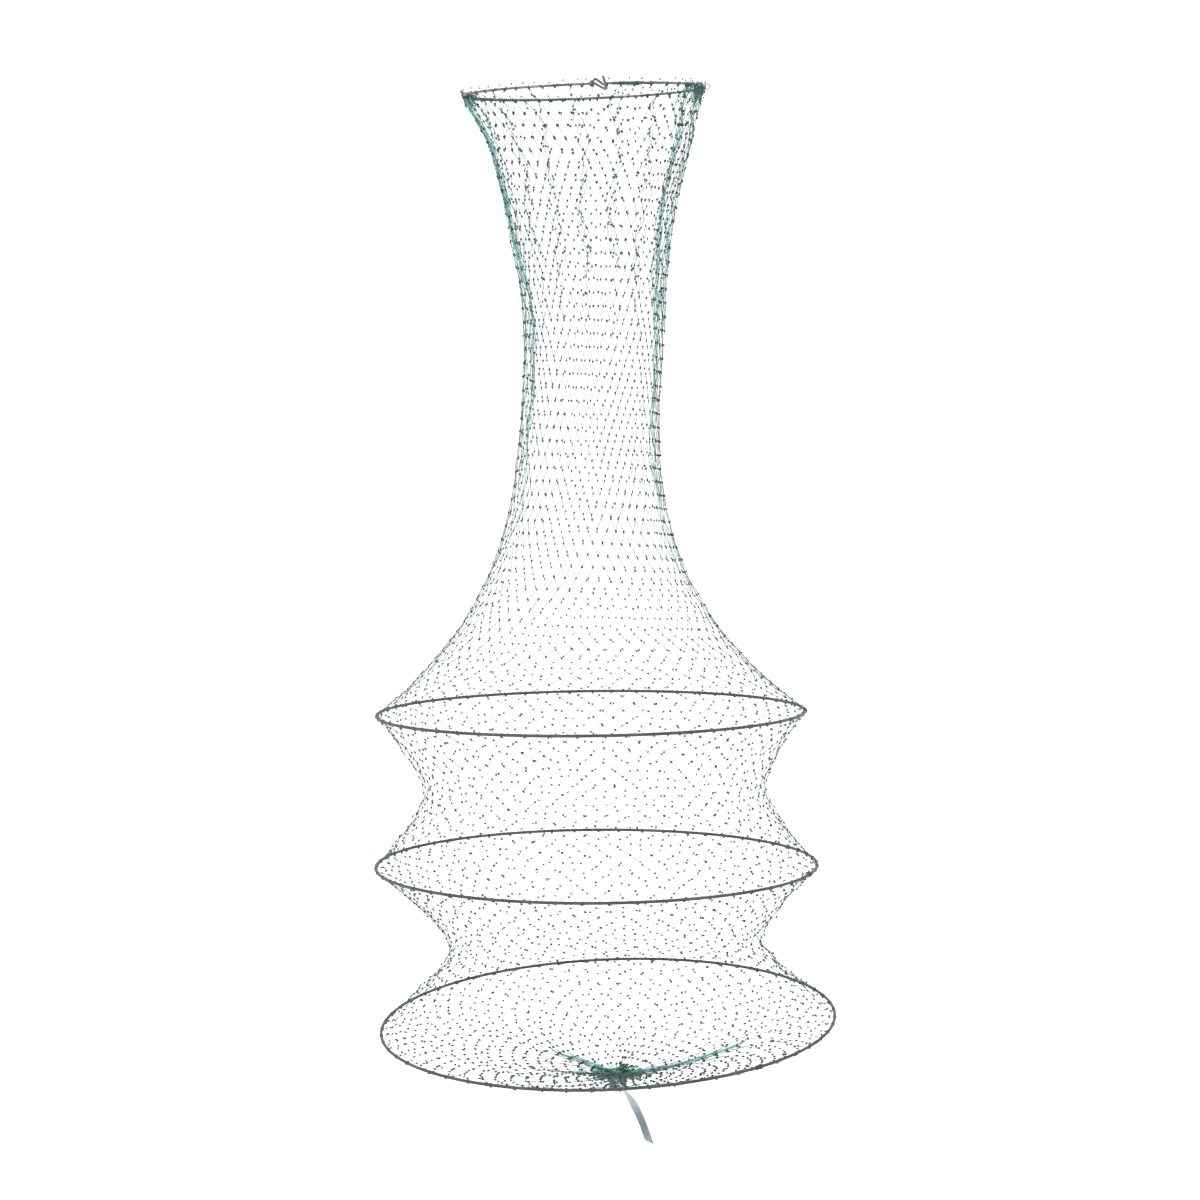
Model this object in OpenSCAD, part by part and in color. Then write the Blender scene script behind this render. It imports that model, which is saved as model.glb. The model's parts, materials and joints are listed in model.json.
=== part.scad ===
// Collapsible hoop net for keeping fish: a small wire mouth ring, a long trumpet-shaped neck,
// three larger coated wire hoops with waisted netting chambers between them, and a netting
// bottom gathered to the middle, tied with cord, with a ribbon tail.
// The origin is the centre of the mouth ring. The net hangs down from it, along -Z.

/* [Mouth ring] */
// Centre-line diameter of the mouth ring
mouth_d = 167; // [120:1:220]
// Diameter of the bare mouth ring wire
mouth_wire_d = 1.6; // [1.2:0.1:3]
// Angle round the ring where the wire's hook meets its eye
closure_angle = -82; // [-180:1:180]

/* [Hoops] */
// Centre-line diameter of the upper hoop
hoop_1_d = 300; // [240:1:320]
// Centre-line diameter of the middle hoop
hoop_2_d = 310; // [240:1:330]
// Centre-line diameter of the bottom hoop
hoop_3_d = 320; // [240:1:340]
// Diameter of the steel core wire of a hoop
core_d = 1.6; // [1:0.1:3]
// Thickness of the plastic coating on a hoop
coating_t = 0.2; // [0.1:0.05:0.6]
// Length of the ferrule that joins a hoop's two ends
ferrule_l = 5; // [4:0.5:8]
// Wall thickness of the ferrule
ferrule_t = 0.5; // [0.4:0.1:0.8]
// Angles round the upper, middle and bottom hoop where the ferrule sits
ferrule_angles = [-4, -20, -52]; // [-180:1:180]

/* [Hang] */
// Distance from the mouth ring down to the upper hoop
neck_h = 431; // [300:1:600]
// Distance from the upper hoop down to the middle hoop
upper_h = 107.5; // [80:0.5:150]
// Distance from the middle hoop down to the bottom hoop
lower_h = 111; // [80:0.5:150]
// Depth of the tied gather below the bottom hoop
bottom_drop = 43.5; // [25:0.5:60]
// Tilt of the mouth ring about X and Y, as the soft net lets it hang
mouth_tilt = [4.9, -1.2]; // [-8:0.1:8]
// Tilt of the upper hoop about X and Y
hoop_1_tilt = [0, 0.3]; // [-8:0.1:8]
// Tilt of the middle hoop about X and Y
hoop_2_tilt = [0, 0.6]; // [-8:0.1:8]
// Tilt of the bottom hoop about X and Y
hoop_3_tilt = [3.3, -1.4]; // [-8:0.1:8]
// Sideways drift of the upper, middle and bottom hoop from plumb
hoop_drifts = [-3, -1, 5]; // [-12:1:12]
// Sideways drift of the gather from plumb
gather_drift = 11; // [-12:1:12]

/* [Netting] */
// Number of meshes round the net
meshes_round = 56; // [40:2:70]
// Diameter of the netting twine
twine_d = 0.3; // [0.2:0.05:0.6]
// Thickness of the netting's skin
skin_t = 0.3; // [0.2:0.05:0.6]
// Diameter of the neck at its narrowest
neck_waist_d = 97; // [70:1:120]
// Place of the neck's narrowest point, as a share of its length from the mouth
neck_waist_at = 0.45; // [0.3:0.01:0.6]
// Diameter of the upper chamber at its storage crease
upper_waist_d = 236; // [180:1:260]
// Diameter of the lower chamber at its storage crease
lower_waist_d = 216; // [180:1:260]

/* [Gather and tail] */
// Diameter of the bunched netting inside the tie
gather_d = 9; // [7:0.5:12]
// Length of the tuft of netting below the tie
tuft_l = 5; // [4:1:16]
// Diameter of the tie cord
cord_d = 1.2; // [1:0.1:2]
// Number of turns of the tie cord
cord_turns = 3; // [2:1:4]
// Width of the ribbon tail
ribbon_w = 5; // [4:0.5:10]
// Length of the ribbon tail
ribbon_l = 49; // [40:1:80]
// Thickness of the ribbon tail
ribbon_t = 0.3; // [0.2:0.05:0.5]
// Lean of the ribbon tail away from plumb
ribbon_lean = 24; // [0:1:40]

/* [Hidden] */
mouth_r = mouth_d / 2;
hoop_rs = [hoop_1_d / 2, hoop_2_d / 2, hoop_3_d / 2];
hoop_tilts = [hoop_1_tilt, hoop_2_tilt, hoop_3_tilt];
hoop_zs = [-neck_h, -neck_h - upper_h, -neck_h - upper_h - lower_h];
gather_z = hoop_zs[2] - bottom_drop;
fit_gap = 0.02;      // clearance between pieces that sit inside one another
edge_gap = 5.5;      // the netting skin's edge stays this far inside a ring's centre line
mesh_angle = 360 / meshes_round;
joint_gap = 1;       // gap between a hoop's two wire ends, inside the ferrule
eye_l = 6;           // length of the eye in the mouth ring's wire, between its round ends
eye_w = 3.6;         // width of the eye, on its centre line
eye_lean = 30;       // lean of the eye out of the vertical
hook_lead = 0.8;     // straight wire before the hook leaves the ring's line
hook_l = 4.6;        // length of the hook's straight part
hook_step = 20;      // angle at which it leaves the ring's line, to pass behind the eye
hook_rise = 4.4;     // height of the hook's tip above the wire
hook_r = 1.6;        // bend radius of the hook
closure_half = 6.5;  // half of the span that the closure takes along the ring
neck_power = [2.1, 3.0];     // how sharply the neck flares above and below its waist
chamber_power = [1.35, 1.35];  // how sharply a chamber flares away from its crease
bottom_power = 1.25;  // how the bottom netting dishes towards the gather
steps = 24;          // straight steps in a netting profile
gather_r = gather_d / 2;
cord_r = cord_d / 2;
knot_r = 2.6;        // radius of the overhand knot in the tie cord
ribbon_neck = 2;     // width of the tail where it leaves the knot
ribbon_taper = 0.35; // share of the tail over which it widens
ribbon_slant = 4.5;  // rise of the slanted end across the tail
knot_y = -(gather_r + cord_d + knot_r + 0.1);
$fn = 96;

// ---- shared shapes ----

// Places children in the plane of a ring that hangs at height z and drift x, with a tilt about X and Y
module hung(x, z, tilt) {
  translate([x, 0, z]) rotate([tilt[0], tilt[1], 0]) children();
}

// A ring of round bar, from angle a0 through sweep degrees, with an optional bore along it
module bent_bar(r, bar_r, a0, sweep, bore_r = 0) {
  rotate([0, 0, a0])
    rotate_extrude(angle = sweep, $fn = 180)
      translate([r, 0])
        difference() {
          circle(r = bar_r, $fn = 32);
          if (bore_r > 0) circle(r = bore_r, $fn = 32);
        }
}

// A thin closed band of twine round a wire of radius wire_r that runs along X
module twine_loop(wire_r) {
  bore = wire_r + fit_gap;
  rotate([0, 90, 0])
    difference() {
      cylinder(r = bore + twine_d, h = twine_d, center = true, $fn = 24);
      cylinder(r = bore, h = 3 * twine_d, center = true, $fn = 24);
    }
}

// Twine loops every mesh round a ring of radius r, except within skip degrees of angle a0
module lashing(r, wire_r, a0, skip) {
  for (k = [0:meshes_round - 1]) {
    a = (k + 0.5) * mesh_angle;
    if (a > skip && a < 360 - skip)
      rotate([0, 0, a0 + a]) translate([r, 0, 0]) rotate([0, 0, 90]) twine_loop(wire_r);
  }
}

// ---- the hoops ----

// Degrees of arc that a length along a ring of radius r spans
function arc_deg(len, r) = len / r * 180 / PI;

module hoop_core(i) {
  gap = arc_deg(joint_gap, hoop_rs[i]);
  color("silver")
    hung(hoop_drifts[i], hoop_zs[i], hoop_tilts[i])
      bent_bar(hoop_rs[i], core_d / 2, ferrule_angles[i] + gap / 2, 360 - gap);
}

module hoop_coating(i) {
  gap = arc_deg(joint_gap, hoop_rs[i]);
  color("dimgray")
    hung(hoop_drifts[i], hoop_zs[i], hoop_tilts[i])
      bent_bar(hoop_rs[i], core_d / 2 + coating_t, ferrule_angles[i] + gap / 2, 360 - gap,
        core_d / 2 + fit_gap);
}

module hoop_ferrule(i) {
  span = arc_deg(ferrule_l, hoop_rs[i]);
  bore = core_d / 2 + coating_t + fit_gap;
  color("black")
    hung(hoop_drifts[i], hoop_zs[i], hoop_tilts[i])
      bent_bar(hoop_rs[i], bore + ferrule_t, ferrule_angles[i] - span / 2, span, bore);
}

module hoop_lashing(i) {
  color("cadetblue")
    hung(hoop_drifts[i], hoop_zs[i], hoop_tilts[i])
      lashing(hoop_rs[i], core_d / 2 + coating_t, ferrule_angles[i], 0);
}

// ---- the mouth ring ----

// Round wire along a path from the origin, heading along +X. Each step is
// [roll about the heading, straight length, bend radius, bend angle towards the local +Z]
module wire_path(path, bar_r, i = 0) {
  if (i < len(path)) {
    roll = path[i][0];
    run = path[i][1];
    bend_r = path[i][2];
    bend = path[i][3];
    rotate([roll, 0, 0]) {
      if (run > 0) rotate([0, 90, 0]) cylinder(r = bar_r, h = run, $fn = 32);
      translate([run, 0, bend_r]) {
        if (bend > 0)
          rotate([90, 0, 0]) rotate([0, 0, -90])
            rotate_extrude(angle = bend, $fn = 96) translate([bend_r, 0]) circle(r = bar_r, $fn = 32);
        rotate([0, -bend, 0]) translate([0, 0, -bend_r]) wire_path(path, bar_r, i + 1);
      }
    }
  }
}

// Places children at an end of the mouth ring's wire, s = -1 for its left end and 1 for its right,
// with +X pointing into the closure
module at_wire_end(s) {
  gap = arc_deg(closure_half * 2, mouth_r);
  hung(0, 0, mouth_tilt)
    rotate([0, 0, closure_angle + s * gap / 2]) translate([mouth_r, 0, 0]) rotate([0, 0, -s * 90]) children();
}

// The ring's wire, from one side of the closure round to the other
module mouth_ring() {
  gap = arc_deg(closure_half * 2, mouth_r);
  color("gray")
    hung(0, 0, mouth_tilt)
      bent_bar(mouth_r, mouth_wire_d / 2, closure_angle + gap / 2, 360 - gap);
}

// The wire's left end, bent back on itself into an eye
module ring_eye() {
  color("gray")
    at_wire_end(-1)
      wire_path([[eye_lean, eye_l, eye_w / 2, 180], [0, eye_l, eye_w / 2, 75]], mouth_wire_d / 2);
}

// The wire's right end, led behind the eye and turned up into a hook
module ring_hook() {
  color("gray")
    at_wire_end(1)
      wire_path([[90, hook_lead, hook_r, hook_step], [-90, hook_l, hook_r, 90], [0, hook_rise - hook_r, 1, 0]],
        mouth_wire_d / 2);
}

module mouth_lashing() {
  color("cadetblue")
    hung(0, 0, mouth_tilt)
      lashing(mouth_r, mouth_wire_d / 2, closure_angle, arc_deg(closure_half + 4, mouth_r));
}

// ---- the netting ----

// Radius of a waisted sleeve at a share t of its length: r_a at 0, r_w at the waist w, r_b at 1
function sleeve_r(r_a, r_w, r_b, w, p, t) =
  t < w ? r_w + (r_a - r_w) * pow(1 - t / w, p[0])
        : r_w + (r_b - r_w) * pow((t - w) / (1 - w), p[1]);

// A thin sleeve of netting at drift x, from height z_a down to z_b, with its waist at the share w
module netting_sleeve(x, r_a, r_w, r_b, z_a, z_b, w, p) {
  shares = [for (k = [0:steps]) k / steps];
  outer = [for (t = shares) [sleeve_r(r_a, r_w, r_b, w, p, t), z_a + (z_b - z_a) * t]];
  inner = [for (k = [steps:-1:0]) [outer[k][0] - skin_t, outer[k][1]]];
  color("mediumaquamarine", 0.5)
    translate([x, 0, 0]) rotate_extrude($fn = 112) polygon(concat(outer, inner));
}

module neck_netting() {
  netting_sleeve(hoop_drifts[0] / 2, mouth_r - edge_gap, neck_waist_d / 2, hoop_rs[0] - edge_gap,
    0, hoop_zs[0], neck_waist_at, neck_power);
}

module chamber_netting(i, waist_d) {
  netting_sleeve((hoop_drifts[i] + hoop_drifts[i + 1]) / 2,
    hoop_rs[i] - edge_gap, waist_d / 2, hoop_rs[i + 1] - edge_gap,
    hoop_zs[i] - 2 * skin_t, hoop_zs[i + 1], 0.5, chamber_power);
}

module bottom_netting() {
  r_out = hoop_rs[2] - edge_gap;
  r_in = gather_r * 1.5 + abs(gather_drift - hoop_drifts[2]) + 1;
  z_top = hoop_zs[2] - 2 * skin_t;
  z_low = gather_z + cord_turns * cord_d + 1;
  shares = [for (k = [0:steps]) k / steps];
  upper = [for (t = shares) [r_out + (r_in - r_out) * t, z_top + (z_low - z_top) * pow(t, 1 / bottom_power)]];
  lower = [for (k = [steps:-1:0]) [upper[k][0], upper[k][1] - skin_t]];
  color("mediumaquamarine", 0.5)
    translate([hoop_drifts[2], 0, 0]) rotate_extrude($fn = 112) polygon(concat(upper, lower));
}

// ---- the gather, its tie and the tail ----

// The bunched netting: it spreads into pleats above the tie and into a short tuft below it
module gather_tuft() {
  top = gather_z + cord_turns * cord_d;
  color("seagreen")
    translate([gather_drift, 0, 0]) rotate_extrude($fn = 48)
      polygon([[0, gather_z - tuft_l], [gather_r * 1.5, gather_z - tuft_l + 1],
        [gather_r * 1.1, gather_z - tuft_l / 3], [gather_r, gather_z], [gather_r, top],
        [gather_r * 0.9, top + 1.5], [0, top + 2]]);
}

module tie_cord() {
  color("paleturquoise")
    for (k = [0:cord_turns - 1])
      translate([gather_drift, 0, gather_z + (k + 0.5) * (cord_d + fit_gap)])
        rotate_extrude($fn = 48) translate([gather_r + fit_gap + cord_r, 0]) circle(r = cord_r, $fn = 20);
}

// The knot's three crossing turns of cord, in front of the tie
module tie_knot() {
  color("paleturquoise")
    translate([gather_drift, knot_y, gather_z + cord_turns * cord_d / 2])
      for (turn = [[90, 0, 0], [60, 50, 0], [60, -50, 0]])
        rotate(turn) rotate_extrude($fn = 40) translate([knot_r - cord_r, 0]) circle(r = cord_r, $fn = 20);
}

// A flat tail with a narrow top and a slanted end, which swings about the knot's middle
module ribbon_tail() {
  top = -knot_r - 0.1;
  low = top - ribbon_l;
  half = ribbon_w / 2;
  color("lightslategray")
    translate([gather_drift, knot_y, gather_z + cord_turns * cord_d / 2])
      rotate([90, -ribbon_lean, 0])
        linear_extrude(height = ribbon_t, center = true)
          polygon([[-ribbon_neck / 2, top], [ribbon_neck / 2, top], [half, top - ribbon_l * ribbon_taper],
            [half, low], [-half, low + ribbon_slant], [-half, top - ribbon_l * ribbon_taper]]);
}

mouth_ring();
ring_eye();
ring_hook();
mouth_lashing();
neck_netting();
hoop_core(0);  // hoop_1_core
hoop_coating(0);  // hoop_1_coating
hoop_ferrule(0);  // hoop_1_ferrule
hoop_lashing(0);  // hoop_1_lashing
chamber_netting(0, upper_waist_d);  // upper_chamber_netting
hoop_core(1);  // hoop_2_core
hoop_coating(1);  // hoop_2_coating
hoop_ferrule(1);  // hoop_2_ferrule
hoop_lashing(1);  // hoop_2_lashing
chamber_netting(1, lower_waist_d);  // lower_chamber_netting
hoop_core(2);  // hoop_3_core
hoop_coating(2);  // hoop_3_coating
hoop_ferrule(2);  // hoop_3_ferrule
hoop_lashing(2);  // hoop_3_lashing
bottom_netting();
gather_tuft();
tie_cord();
tie_knot();
ribbon_tail();
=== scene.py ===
"""Hoop keep net: knotted netting, bindings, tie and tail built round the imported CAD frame."""

import json
import math

import bpy
import numpy as np
from mathutils import Euler, Matrix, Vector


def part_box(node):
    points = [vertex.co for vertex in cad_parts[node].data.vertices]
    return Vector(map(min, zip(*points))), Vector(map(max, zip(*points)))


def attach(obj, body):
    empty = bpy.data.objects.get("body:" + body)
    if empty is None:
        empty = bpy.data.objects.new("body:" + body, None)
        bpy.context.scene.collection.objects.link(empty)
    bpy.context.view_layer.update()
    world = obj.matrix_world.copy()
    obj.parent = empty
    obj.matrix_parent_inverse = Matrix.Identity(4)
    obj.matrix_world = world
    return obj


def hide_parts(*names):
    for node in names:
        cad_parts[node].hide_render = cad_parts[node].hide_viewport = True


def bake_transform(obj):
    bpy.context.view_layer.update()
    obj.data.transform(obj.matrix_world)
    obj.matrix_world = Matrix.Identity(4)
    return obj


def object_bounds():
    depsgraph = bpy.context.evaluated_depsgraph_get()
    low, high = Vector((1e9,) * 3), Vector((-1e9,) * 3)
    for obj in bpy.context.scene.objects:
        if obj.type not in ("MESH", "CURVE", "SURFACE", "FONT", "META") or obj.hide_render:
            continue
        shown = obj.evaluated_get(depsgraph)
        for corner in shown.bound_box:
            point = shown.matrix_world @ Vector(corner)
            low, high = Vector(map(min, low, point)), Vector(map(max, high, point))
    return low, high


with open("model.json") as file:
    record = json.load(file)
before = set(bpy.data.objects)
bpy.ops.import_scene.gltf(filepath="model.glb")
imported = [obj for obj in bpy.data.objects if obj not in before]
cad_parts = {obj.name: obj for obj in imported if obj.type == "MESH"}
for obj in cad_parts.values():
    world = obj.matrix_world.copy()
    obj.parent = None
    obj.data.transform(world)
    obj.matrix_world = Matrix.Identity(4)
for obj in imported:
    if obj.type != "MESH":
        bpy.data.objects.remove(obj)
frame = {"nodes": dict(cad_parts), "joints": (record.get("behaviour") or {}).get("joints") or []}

cad_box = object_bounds()
TAU = 2 * math.pi
rng = np.random.default_rng(11)

# ---- sizes, in metres ----
MESHES = 56            # meshes round the net
BAR = 0.0100           # knot to knot along one bar of a mesh
HUNG_BAR = 0.0099      # the part of it that a hanging mesh takes up
TWINE_R = 0.00012      # radius of the netting twine
KNOT_TWINE_D = 0.00036 # thickness of the twine where it is pulled up in a knot
TURN_ROWS = 2          # rows that the netting climbs in one turn, as a tube is knitted
LEAN_ROWS = 0.5        # rows by which the right side hangs lower
SIDES = 5              # sides of a netting twine's section
TOP_ROWS = 14.0        # rows over which the large, uneven knots at the mouth give way to plain ones
RING_EASE_ROWS = 3.0   # rows over which the sloping rows level out to meet a ring
MAX_LEAN = 0.93        # the most that half a mesh's width may take of its bar
UP = np.array([0, 0, 1.0])


# ---- small vector helpers ----

def unit(v):
    return v / np.maximum(np.linalg.norm(v, axis=-1, keepdims=True), 1e-12)


def lerp(a, b, w):
    w = np.asarray(w)[..., None]
    return a * (1 - w) + b * w


def smooth(x):
    x = np.clip(x, 0, 1)
    return x * x * (3 - 2 * x)


def angle_gap(a, b):
    """Signed angle from b to a, within half a turn."""
    return (a - b + math.pi) % TAU - math.pi


def noise_1d(x, seed):
    """Smooth seeded noise of a number, about -1 to 1."""
    g = np.random.default_rng(seed)
    total = np.zeros_like(np.asarray(x, float))
    for k in range(3):
        a, f = g.uniform(0, TAU), (1.0 + g.uniform(0, 0.6)) * 2 ** k
        total += np.sin(np.asarray(x) * f + a) / 1.6 ** k
    return total / 2


# ---- what the CAD frame gives ----

def node_points(name):
    mesh = frame["nodes"][name].data
    co = np.empty(len(mesh.vertices) * 3, np.float32)
    mesh.vertices.foreach_get("co", co)
    return co.reshape(-1, 3).astype(float)


class Ring:
    """Centre, plane and radii of a ring of wire."""

    def __init__(self, centre, normal, radius, wire_r):
        self.centre, self.normal = np.asarray(centre, float), unit(np.asarray(normal, float))
        self.u = unit(np.array([1.0, 0, 0]) - self.normal[0] * self.normal)
        self.v = np.cross(self.normal, self.u)
        self.radius, self.wire_r = radius, wire_r

    def out(self, phi):
        phi = np.asarray(phi)[..., None]
        return np.cos(phi) * self.u + np.sin(phi) * self.v

    def along(self, phi):
        phi = np.asarray(phi)[..., None]
        return -np.sin(phi) * self.u + np.cos(phi) * self.v

    def at(self, phi, outward=0.0, up=0.0):
        outward = np.asarray(outward, float)[..., None]
        up = np.asarray(up, float)[..., None]
        return self.centre + (self.radius + outward) * self.out(phi) + up * self.normal


def ring_of(node):
    """The ring that a CAD node's vertices lie on."""
    p = node_points(node)
    mid = p.mean(0)
    normal = np.linalg.svd(p - mid, full_matrices=False)[2][2]
    ring = Ring(mid, normal * np.sign(normal[2]), 0, 0)
    x, y = (p - mid) @ ring.u, (p - mid) @ ring.v
    fit = np.linalg.lstsq(np.stack([2 * x, 2 * y, np.ones_like(x)], 1), x * x + y * y, rcond=None)[0]
    centre = mid + fit[0] * ring.u + fit[1] * ring.v
    ring = Ring(centre, ring.normal, math.sqrt(fit[2] + fit[0] ** 2 + fit[1] ** 2), 0)
    out = p - centre
    height = out @ ring.normal
    rho = np.linalg.norm(out - height[:, None] * ring.normal, axis=1)
    ring.wire_r = np.hypot(rho - ring.radius, height).max()
    return ring


mouth = ring_of("mouth_ring")
hoops = [ring_of(f"hoop_{i}_coating") for i in (1, 2, 3)]
tuft_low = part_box("gather_tuft")[0][2]
cord_lo, cord_hi = (np.array(c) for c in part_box("tie_cord"))
knot_lo, knot_hi = (np.array(c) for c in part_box("tie_knot"))
gather_xy = (cord_lo[:2] + cord_hi[:2]) / 2
cord_r = (cord_hi[2] - cord_lo[2]) / 6
gather_r = (cord_hi[0] - cord_lo[0]) / 2 - 2 * cord_r
gather = Ring([*gather_xy, cord_hi[2]], [0, 0, 1], gather_r * 0.8, 0)


class Section:
    """A stretch of netting from one ring to the next. Its meridian follows the CAD sleeve."""

    def __init__(self, node, top, low, dished=False, sway=()):
        """sway lists leans of the section: distance along X, the share where it peaks, and its spread."""
        self.sway = sway
        p = node_points(node)
        axis = (p[:, :2].min(0) + p[:, :2].max(0)) / 2
        rho, z = np.linalg.norm(p[:, :2] - axis, axis=1), p[:, 2]
        if dished:
            key = np.round(rho, 5)
            levels = np.unique(key)[::-1]
            z = np.array([z[key == k].max() for k in levels])
            r = levels
            share = (r - r[-1]) / (r[0] - r[-1])
            r = low.radius + share * (top.radius - low.radius)
        else:
            key = np.round(z, 5)
            levels = np.unique(key)[::-1]
            r = np.array([rho[key == k].max() for k in levels])
            z = levels
            waist = r.argmin()
            rise = np.where(np.arange(len(r)) < waist, (top.radius - r[waist]) / (r[0] - r[waist]),
                            (low.radius - r[waist]) / (r[-1] - r[waist]))
            r = r[waist] + (r - r[waist]) * rise
        z = top.centre[2] + (z - z[0]) * (low.centre[2] - top.centre[2]) / (z[-1] - z[0])
        self.top, self.low = top, low
        fine = np.linspace(0, 1, 400)
        coarse = np.linspace(0, 1, len(r))
        self.r, self.z = np.interp(fine, coarse, r), np.interp(fine, coarse, z)
        step = np.hypot(np.diff(self.r), np.diff(self.z))
        self.s = np.concatenate([[0], np.cumsum(step)])
        lean = np.clip(math.pi * self.r / MESHES / HUNG_BAR, 0, MAX_LEAN)
        density = 1 / (HUNG_BAR * np.sqrt(1 - lean ** 2))
        self.rows = np.concatenate([[0], np.cumsum(step * (density[1:] + density[:-1]) / 2)])

    def place(self, row, phi, scale=1.0):
        """Points, outward normals, sideways and upward directions on the sleeve."""
        s = np.interp(row, self.rows, self.s)
        r, z = np.interp(s, self.s, self.r), np.interp(s, self.s, self.z)
        reach = 0.002       # how far each way the meridian's slope is read
        ahead, back = np.minimum(s + reach, self.s[-1]), np.maximum(s - reach, 0)
        dr = np.interp(ahead, self.s, self.r) - np.interp(back, self.s, self.r)
        dz = np.interp(ahead, self.s, self.z) - np.interp(back, self.s, self.z)
        h = (self.top.centre[2] - z) / (self.top.centre[2] - self.low.centre[2])
        spoke = lerp(self.top.out(phi), self.low.out(phi), h)
        point = lerp(self.top.centre, self.low.centre, h) + (r * scale)[:, None] * spoke
        held = smooth(h / 0.08) * smooth((1 - h) / 0.08)        # none of the sway reaches the rings
        for lean, peak, spread in self.sway:
            point[:, 0] += lean * np.exp(-((h - peak) / spread) ** 2) * held
        out = unit(spoke)
        down = unit(dr[:, None] * out + dz[:, None] * UP)
        side = unit(lerp(self.top.along(phi), self.low.along(phi), h))
        return point, unit(np.cross(down, side)), side, -down


sections = [
    Section("neck_netting", mouth, hoops[0],
            sway=[(0.0045, 0.10, 0.12), (0.0055, 0.36, 0.15), (-0.0015, 0.85, 0.2)]),
    Section("upper_chamber_netting", hoops[0], hoops[1], sway=[(0.001, 0.5, 0.4)]),
    Section("lower_chamber_netting", hoops[1], hoops[2], sway=[(0.0035, 0.45, 0.3)]),
    Section("bottom_netting", hoops[2], gather, dished=True),
]
BODIES = ["mouth", "hoop_1", "hoop_2", "hoop_3", "tie"]
ends = np.concatenate([[0], np.cumsum([s.rows[-1] for s in sections])])

# ---- the netting as knots and bars ----

# Where the netting is drawn together into folds: angle, half width, strength at the top and at the
# low end of its section, the share of the section over which the strength changes, and the course of
# its angle: the drift at the top, and the shares between which the drift fades
LEFT_COURSE = (-0.44, 0.13, 0.34)
RIGHT_COURSE = (-0.20, 0.16, 0.50)
RIGHT_ARM_COURSE = (0.50, 0.45, 0.95)
STRAIGHT = (0.0, 0.0, 1.0)
FOLDS = [
    [(3.62, 0.34, 0.95, 0.0, 0.76, LEFT_COURSE), (-0.36, 0.36, 0.95, 0.0, 0.76, RIGHT_COURSE),
     (3.14, 0.20, 0.84, 0.0, 0.62, STRAIGHT), (2.62, 0.24, 0.80, 0.0, 0.50, STRAIGHT),
     (0.32, 0.26, 0.80, 0.0, 0.50, STRAIGHT)],
    [],
    [],
    [(-0.50, 0.85, 0.0, 0.98, 0.80, RIGHT_ARM_COURSE), (2.58, 0.70, 0.0, 0.98, 0.45, STRAIGHT),
     (3.75, 0.62, 0.0, 0.95, 0.38, STRAIGHT), (4.85, 0.5, 0.0, 0.9, 0.36, STRAIGHT),
     (1.35, 0.6, 0.0, 0.9, 0.36, STRAIGHT)],
]
JITTER = [0.00035, 0.0011, 0.0012, 0.0009]      # unevenness of the knots' places, per section
TOP_RUFFLE = 5.0       # how many times more unevenly the knots hang just under the mouth
KNOT_SLIP = 0.0012     # unevenness of the knots along a ring's wire


def fold_angle(share, at, course):
    """The angle of a fold at a share of its section."""
    drift, begin, end = course
    return at + drift * (1 - smooth((share - begin) / (end - begin)))


def drawn_in(phi, share, folds):
    """Angles after the folds have drawn the netting to them, and how deep each point is in a fold."""
    depth = np.zeros_like(phi)
    for at, half, a_top, a_low, reach, course in folds:
        if a_low > a_top:
            amount = a_top + (a_low - a_top) * smooth((share - 1 + reach) / reach) ** 0.6
        else:
            amount = a_top + (a_low - a_top) * smooth(share / reach)
        d = angle_gap(phi, fold_angle(share, at, course))
        near = amount * np.exp(-(d / half) ** 2)
        phi = phi - d * near
        depth = np.maximum(depth, near)
    return phi, depth


def lattice():
    """Every knot of the net: its row number down the net, angle, and the links between knots."""
    first, last = -TURN_ROWS - 2, int(ends[-1]) + 2
    k, j = np.meshgrid(np.arange(first, last + 1), np.arange(MESHES), indexing="ij")
    step = j + 0.5 * (k % 2)
    phi = math.pi + TAU * step / MESHES
    lead = TURN_ROWS * step / MESHES + LEAN_ROWS * np.cos(phi)
    row = k + lead

    def index(k, j):
        over = np.floor_divide(j, MESHES)
        k, j = k + TURN_ROWS * over, j - MESHES * over
        ok = (k >= first) & (k <= last)
        return np.where(ok, (k - first) * MESHES + j, -1)

    here = index(k, j)
    links = []
    for side in (-1, 0):
        there = index(k + 1, j + side + (k % 2))
        links.append(np.stack([here, there], -1).reshape(-1, 2))
    links = np.concatenate(links)
    links = links[(links >= 0).all(1)]
    return row.ravel(), (phi % TAU).ravel(), (lead % 1).ravel(), links


row, phi, lead, links = lattice()
pinned = np.full(len(row), -1)
level = row.copy()
for i, end in enumerate(ends[:4]):
    off = (lead - end + 0.5) % 1 - 0.5
    dist = row - end
    level -= off * np.exp(-(dist / RING_EASE_ROWS) ** 2)
    pinned[np.abs(dist) < 0.5] = i
level = np.where(pinned >= 0, ends[np.maximum(pinned, 0)], level)
keep = (row > -0.5) & (level < ends[-1] - 0.2)
number = np.cumsum(keep) - 1
links = number[links[keep[links].all(1)]]
row, phi, level, pinned = row[keep], phi[keep], level[keep], pinned[keep]

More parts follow.
